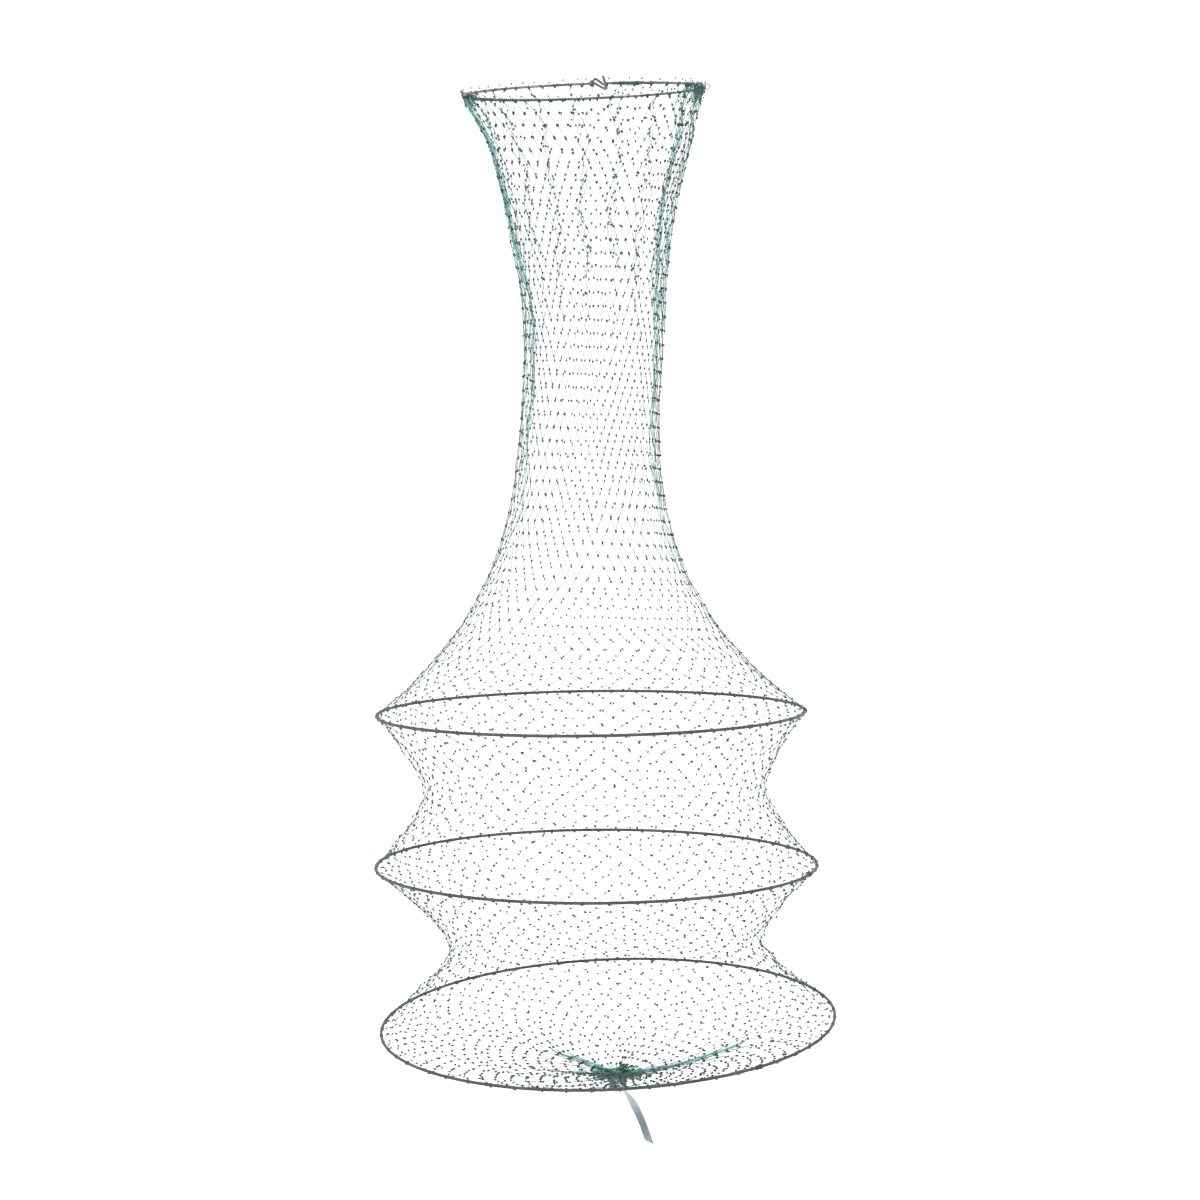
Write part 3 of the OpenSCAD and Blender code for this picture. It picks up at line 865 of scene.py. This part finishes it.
for i, ring in enumerate([mouth] + hoops):
    body = BODIES[i]
    on_ring = np.flatnonzero(pinned == i)
    on_ring = on_ring[np.argsort(phi[on_ring] % TAU)]
    if i == 0:
        on_ring = on_ring[np.abs(angle_gap(phi[on_ring], closure)) * ring.radius > CLEAR_OF_CLOSURE]
    angles = phi[on_ring]
    loop_verts, loop_faces = loop_template(ring.wire_r)
    wobble = rng.normal(0, 0.0004, len(angles)) / ring.radius
    bindings = Pile().add(placed(loop_verts, ring.at(angles + wobble), ring.along(angles), ring.out(angles),
                                 np.broadcast_to(ring.normal, (len(angles), 3))), loop_faces, len(angles))
    if i == 0:
        follow = np.roll(angles, -1)
        gap = angle_gap(follow, angles)
        wide = np.flatnonzero(gap > WIDE_GAP)
        middle = angles[wide] + gap[wide] * rng.uniform(0.35, 0.65, len(wide))
        rise = rng.uniform(0.0018, 0.0036, len(wide))
        stand = rng.uniform(-0.0012, 0.0014, len(wide))
        tips = ring.at(middle, stand, rise)
        for a0, a1, tip in zip(angles[wide], follow[wide], tips):
            for foot in (ring.at(a0), ring.at(a1)):
                bindings.strand(slack_line(foot, tip, rng.normal(0, 0.0005, 3)))
        place_knots(bindings, tips, ring.out(middle), UP)
        right_end = closure + 0.0075 / ring.radius
        bindings.strand(wire_coil(ring, right_end, right_end + 0.019 / ring.radius, 26, 0.0001), 1.3)
        bindings.strand(wire_coil(ring, right_end + 0.02 / ring.radius, -0.2, 9, 0.0004), 1.2)
        bindings.strand(wire_coil(ring, 1.25, 3.08, 96, 0.0002), 1.6)
        tangle(bindings, ring, -0.06, 0.0062, (-0.013, 0.0016), (-0.0175, 0.0026), 26, 16)
        tangle(bindings, ring, -0.30, 0.0030, (-0.003, 0.001), (-0.0035, 0.0014), 8, 9)
        tangle(bindings, ring, math.pi, 0.0056, (-0.012, 0.0018), (-0.0130, 0.0030), 24, 18)
        tangle(bindings, ring, right_end + 0.16, 0.007, (-0.0016, 0.0012), (-0.0034, 0.0010), 5, 9)
        for size, tilt in ((0.0021, 0.2), (0.0016, -0.35)):
            a = np.linspace(0.2, TAU + 0.5, 26)
            loop = ring.at(0.0, 0.0018, 0.0002) + size * (
                np.cos(a)[:, None] * unit(np.array([1, tilt, 0])) + np.sin(a)[:, None] * ring.normal)
            bindings.strand(loop, 1.4)
        hung = np.linspace(right_end + 0.06, -0.20, HUNG_LOOPS)
        feet = ring.at(hung)
        drop = ring.at(hung - 0.03, rng.uniform(-0.003, 0.001, HUNG_LOOPS),
                       rng.uniform(-0.0062, -0.003, HUNG_LOOPS))
        for foot, low in zip(feet, drop):
            bindings.strand(slack_line(foot, low, rng.normal(0, 0.0003, 3)), 1.4)
        place_knots(bindings, drop, ring.out(hung), UP, 1.15)
    name = "mouth_bindings" if i == 0 else f"hoop_{i}_bindings"
    piece = bindings.object(name, twine, "twine")
    stand_in(piece, body, "mouth_lashing" if i == 0 else f"hoop_{i}_lashing")

WIRE_SIDES = 14
HOOP_GAP = 0.0012      # gap between a hoop's two ends, inside its ferrule
FERRULE_HALF = 0.0026  # half the length of a ferrule
for i, ring in enumerate(hoops, start=1):
    joint = angle_on(ring, node_middle(f"hoop_{i}_ferrule"))
    half_gap = HOOP_GAP / 2 / ring.radius
    path = ring.at(np.linspace(joint + half_gap, joint + TAU - half_gap, 300))
    piece = Pile().tube(path, ring.wire_r, WIRE_SIDES).object(f"hoop_{i}_wire", hoop_coating, "hoop_coating")
    stand_in(piece, BODIES[i], f"hoop_{i}_coating")
    half = FERRULE_HALF / ring.radius
    share = np.linspace(0, 1, 33)
    crimp = np.exp(-((share[:, None] - [0.22, 0.5, 0.78]) / 0.055) ** 2).sum(1)
    lip = smooth(share / 0.05) * smooth((1 - share) / 0.05)
    radius = ring.wire_r + 0.0001 + 0.00045 * lip - 0.00022 * crimp
    sleeve = Pile().tube(ring.at(joint + half * (2 * share - 1)), radius, 16)
    piece = sleeve.object(f"hoop_{i}_crimped_ferrule", ferrule, "ferrule")
    stand_in(piece, BODIES[i], f"hoop_{i}_ferrule")

# The mouth ring's one wire: its hook, the round of the ring, and its eye with the end wrapped back
ring = mouth
side, out, up = ring.along(closure), ring.out(closure), ring.normal
origin = ring.at(closure)


def at_closure(points):
    """Points given in millimetres along the ring, up and outward from the closure."""
    p = np.asarray(points, float) / 1000
    return origin + p[:, :1] * side + p[:, 1:2] * up + p[:, 2:] * out


HALF_CLOSURE = 0.0065  # from the closure's middle to where the wire leaves its round
hook = at_closure([(1.9, 5.0, -1.0), (2.4, 3.4, -1.2), (2.8, 1.6, -1.35), (3.6, 0.4, -1.3),
                   (4.9, 0.0, -0.8)])
eye = at_closure([(-5.2, -0.2, 0.1), (-3.6, -0.1, 0.2), (-1.2, -1.5, 0.4), (1.4, -3.0, 0.5),
                  (3.1, -3.6, 0.5), (3.9, -2.9, 0.6), (3.0, -1.6, 0.7), (0.4, 0.3, 0.8),
                  (-2.2, 2.3, 0.9), (-3.7, 2.9, 0.8), (-4.7, 2.0, 0.9), (-4.9, 0.5, 1.5),
                  (-5.2, -1.5, 0.6), (-5.6, -1.0, -1.3), (-6.0, 1.2, -1.0), (-6.4, 1.3, 0.9),
                  (-6.8, -0.9, 1.3)])
half = HALF_CLOSURE / ring.radius
span = np.linspace(closure + half, closure + TAU - half, 240)
path = np.concatenate([curve_through(np.concatenate([hook, ring.at(span[:3])]), 60)[:-14],
                       ring.at(span[3:-3]),
                       curve_through(np.concatenate([ring.at(span[-3:]), eye]), 150)[12:]])
piece = Pile().tube(path, ring.wire_r * 0.98, WIRE_SIDES).object("mouth_wire", bare_wire, "bare_wire")
stand_in(piece, "mouth", "mouth_ring", "ring_eye", "ring_hook")

# ---- the gather, its tie and the tail ----

TIE_TURNS = 3
INNER_STRANDS = 60     # short strands packed inside the bunch
PLEATS = 84            # doubled strands that stand out sideways above the tie
SPIKES = 18            # doubled strands that stand up from it
gather_xyz = np.array([*gather_xy, (cord_lo[2] + cord_hi[2]) / 2])


def cylinder_points(r, angle, z):
    """Points about the gather's axis."""
    r, angle, z = (np.asarray(v, float) for v in (r, angle, z))
    return np.stack([gather_xyz[0] + r * np.cos(angle), gather_xyz[1] + r * np.sin(angle), z], -1)


bunch = Pile()
last = np.flatnonzero(level > ends[-1] - 1.6)
tuft_knots = []
for k in last:
    a = phi[k] + rng.normal(0, 0.12)
    inner = gather_r * math.sqrt(rng.uniform(0.02, 0.85))
    flare = gather_r * rng.uniform(0.6, 1.45)
    turn = rng.normal(0, 0.4)
    tip_z = tuft_low + rng.uniform(0.0, 0.006)
    pts = [knots[k],
           cylinder_points(gather_r * 1.05, a + 0.3 * turn, cord_hi[2] + 0.0012),
           cylinder_points(inner, a + 0.6 * turn, gather_xyz[2]),
           cylinder_points(gather_r * 0.9, a + turn, cord_lo[2] - 0.0008),
           cylinder_points(flare, a + 1.4 * turn, tip_z)]
    bunch.strand(curve_through(np.array(pts), 16), 1.3)
    tuft_knots.append(pts[-1])
    if rng.random() < 0.7:
        tuft_knots.append(pts[3] * 0.4 + pts[4] * 0.6)
tuft_knots = np.array(tuft_knots)
for _ in range(INNER_STRANDS):
    a, r = rng.uniform(0, TAU), gather_r * math.sqrt(rng.uniform(0, 0.8))
    path = [cylinder_points(gather_r * 1.2, a, cord_hi[2] + rng.uniform(0.0015, 0.004)),
            cylinder_points(r, a + 0.3, gather_xyz[2] + 0.001),
            cylinder_points(r, a + 0.6, cord_lo[2]),
            cylinder_points(gather_r * rng.uniform(0.8, 1.5), a + 0.8, cord_lo[2] - rng.uniform(0.003, 0.008))]
    bunch.strand(curve_through(np.array(path), 12), 1.5)
core = np.linspace(0, 1, 14)
bunch.tube(cylinder_points(0 * core, 0, cord_hi[2] + 0.0022 + (tuft_low + 0.004 - cord_hi[2]) * core),
           gather_r * (0.55 + 0.38 * np.sin(math.pi * core) ** 0.6), 20, lobes=14, lobe_depth=0.18)
place_knots(bunch, tuft_knots, unit(tuft_knots - gather_xyz), UP)


def doubled_strand(foot, tip, back, bend, thickness):
    """A strand that stands out of the bunch to a tip and comes back."""
    path = np.array([foot, (foot + tip) / 2 + bend, tip, (back + tip) / 2 - bend, back])
    bunch.strand(curve_through(path, 14), thickness)


for _ in range(PLEATS):
    a = (math.pi if rng.random() < 0.5 else 0.0) + rng.normal(0, 0.6)
    reach = rng.uniform(0.004, 0.0175)
    foot = cylinder_points(gather_r * 0.8, a, cord_hi[2] + rng.uniform(-0.001, 0.001))
    back = cylinder_points(gather_r * 0.8, a + rng.normal(0, 0.5), cord_hi[2] + rng.uniform(-0.002, 0.001))
    tip = foot + np.array([math.cos(a) * reach, math.sin(a) * reach, rng.normal(-0.0018, 0.0022)])
    if tip[0] > gather_xyz[0] and tip[1] < gather_xyz[1]:
        tip[2] = max(tip[2], foot[2] + 0.0015)      # the ribbon swings under this quarter
    bend = rng.normal(0, 0.0009, 3)
    doubled_strand(foot, tip, back, bend, 1.5)
    place_knots(bunch, np.array([tip, (foot + tip) / 2 + bend]), unit(tip - gather_xyz)[None].repeat(2, 0), UP)
for _ in range(SPIKES):
    a = rng.normal(0.5, 0.9)
    lean = rng.uniform(0.6, 1.5)
    length = rng.uniform(0.003, 0.006)
    foot = cylinder_points(gather_r * 0.6, a, cord_hi[2])
    tip = foot + length * np.array([math.cos(a) * lean, math.sin(a) * lean, 1.0])
    back = cylinder_points(gather_r * 0.7, a + 0.35, cord_hi[2])
    bend = rng.normal(0, 0.0008, 3)
    doubled_strand(foot, tip, back, bend, 1.3)
    place_knots(bunch, tip[None], unit(tip - gather_xyz)[None], UP)
piece = bunch.object("gather_bunch", bunched_netting, "bunched_netting")
stand_in(piece, "tie", "gather_tuft")

t = np.linspace(0, 1, 150)
height = cord_lo[2] + cord_r + (cord_hi[2] - cord_lo[2] - 2 * cord_r) * smooth((t - 0.06) / 0.88)
angle = -math.pi / 2 + TAU * (TIE_TURNS + 0.12) * t
tie_path = cylinder_points(gather_r + cord_r * (0.95 + 0.12 * noise_1d(t * 14, 8)), angle, height)
cords = Pile()
cords.tube(tie_path, cord_r * 0.86, 12, turn=-TAU * 34, lobes=3, lobe_depth=0.16)
piece = cords.object("tie_turns", tie_cord, "tie_cord")
stand_in(piece, "tie", "tie_cord")

knot_mid = (knot_lo + knot_hi) / 2
knot_half = (knot_hi - knot_lo) / 2
a = np.linspace(0, TAU, 90, endpoint=False)
trefoil = np.stack([np.sin(a) + 1.5 * np.sin(2 * a), 1.1 * np.sin(3 * a),
                    np.cos(a) - 1.5 * np.cos(2 * a)], 1)
trefoil *= (knot_half - cord_r * 0.8) / np.abs(trefoil).max(0) * 0.92
cut = 12
body_path = np.roll(trefoil, -45, 0)[cut // 2:-cut // 2] + knot_mid
tails = [curve_through(np.array([body_path[0], body_path[0] + [-0.0012, -0.0008, -0.002],
                                 body_path[0] + [-0.003, -0.001, -0.007],
                                 body_path[0] + [-0.0035, -0.0002, -0.0125]]), 22)[::-1],
         curve_through(np.array([body_path[-1], body_path[-1] + [0.0014, -0.0008, -0.002],
                                 body_path[-1] + [0.005, -0.001, -0.004],
                                 body_path[-1] + [0.0095, -0.0004, -0.0055]]), 22)]
knot_path = np.concatenate([tails[0][:-1], body_path, tails[1][1:]])
knot_piece = Pile()
knot_piece.tube(knot_path, cord_r * 0.8, 12, turn=-TAU * 26, lobes=3, lobe_depth=0.16)
piece = knot_piece.object("tie_overhand_knot", tie_cord, "tie_cord")
stand_in(piece, "tie", "tie_knot")

ribbon_lo, ribbon_hi = (np.array(c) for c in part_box("ribbon_tail"))
swing = next(np.array(j["pos_m"]) for j in frame["joints"] if j["name"] == "ribbon_swing")
ALONG, ACROSS = 72, 14         # vertices along the ribbon and across it
RIBBON_HALF = 0.0026           # half its width
RIBBON_BOW = np.array([0.0030, -0.0030, 0.0])
RIBBON_SLANT = 0.0026          # how far its cut end slants
RIBBON_CUP = 0.00035           # how far its edges curl near the knot
THICK = 0.00012                # half its thickness
t = np.linspace(0, 1, ALONG)
top = np.array([swing[0] + 0.001, swing[1], swing[2] - 0.0024])
foot = np.array([ribbon_hi[0] - 0.0015, swing[1], ribbon_lo[2] + 0.001])
spine = top + (foot - top) * t[:, None] + RIBBON_BOW * (4 * t * (1 - t) * (1.35 - 0.7 * t))[:, None]
tangent = unit(np.gradient(spine, axis=0))
twist = 0.95 - 1.15 * smooth(t / 0.75) + 0.10 * np.sin(t * 9)
flat = unit(np.cross(tangent, [0, 1.0, 0]))
normal = np.cross(flat, tangent)
face = np.cos(twist)[:, None] * flat + np.sin(twist)[:, None] * normal
half = RIBBON_HALF * (0.34 + 0.66 * smooth(t / 0.33))
across = np.linspace(-1, 1, ACROSS)
slant = RIBBON_SLANT * (1 - smooth((1 - t) / 0.25))
front = np.cross(face, tangent)
cup = RIBBON_CUP * (across[None, :, None] ** 2 - 0.4) * (1 - t)[:, None, None]
sheet = (spine[:, None] + face[:, None] * half[:, None, None] * across[None, :, None]
         + tangent[:, None] * slant[:, None, None] * across[None, :, None] + front[:, None] * cup)
upper, lower = sheet + front[:, None] * THICK, sheet - front[:, None] * THICK
rim = np.concatenate([upper, lower[:, ::-1]], 1)
ribbon = Pile().add(rim.reshape(-1, 3), tube_faces(ALONG, 2 * ACROSS))
piece = ribbon.object("ribbon", ribbon_weave, "ribbon")
stand_in(piece, "ribbon", "ribbon_tail")

# ---- floor, light and camera ----

FLOOR_DROP = 0.06      # the floor lies this far under the hanging net
floor_z = cad_box[0][2] - FLOOR_DROP
bpy.ops.mesh.primitive_circle_add(vertices=128, radius=6, fill_type="NGON", location=(0, 0, floor_z))
floor = bpy.context.object
floor.name = "floor"
floor_paint, _, floor_bsdf = new_material("floor_paint")
floor_bsdf.inputs["Base Color"].default_value = (0.95, 0.95, 0.95, 1)
floor_bsdf.inputs["Roughness"].default_value = 0.9
floor_bsdf.inputs["Specular IOR Level"].default_value = 0.0
floor.data.materials.append(floor_paint)

world = bpy.data.worlds.new("studio")
bpy.context.scene.world = world
world.use_nodes = True
world.node_tree.nodes["Background"].inputs["Color"].default_value = (1, 1, 1, 1)
world.node_tree.nodes["Background"].inputs["Strength"].default_value = 1.35
bpy.context.scene.view_settings.view_transform = "Standard"


LIT_POINT = Matrix.Translation((0, 0, -0.35)).translation


def soft_light(name, location, energy, size):
    data = bpy.data.lights.new(name, "AREA")
    data.energy, data.size = energy, size
    light = bpy.data.objects.new(name, data)
    light.location = location
    aim = LIT_POINT - light.location
    light.rotation_euler = aim.to_track_quat("-Z", "Y").to_euler()
    bpy.context.scene.collection.objects.link(light)


soft_light("key", (-1.4, -1.6, 1.0), 30, 1.6)
soft_light("fill", (1.8, -1.2, 0.4), 14, 1.8)

camera_data = bpy.data.cameras.new("camera")
camera_data.sensor_width = 36
camera_data.lens = 73.71
camera_data.clip_start, camera_data.clip_end = 0.05, 40
camera = bpy.data.objects.new("camera", camera_data)
CAMERA_AT = (0.0048, -1.7186, -0.2511)
CAMERA_PITCH, CAMERA_ROLL = math.radians(3.38), math.radians(1.03)
camera.matrix_world = (Matrix.Translation(CAMERA_AT)
                       @ Euler((math.pi / 2 - CAMERA_PITCH, 0, 0)).to_matrix().to_4x4()
                       @ Matrix.Rotation(-CAMERA_ROLL, 4, "Z"))
bpy.context.scene.collection.objects.link(camera)
bpy.context.scene.camera = camera
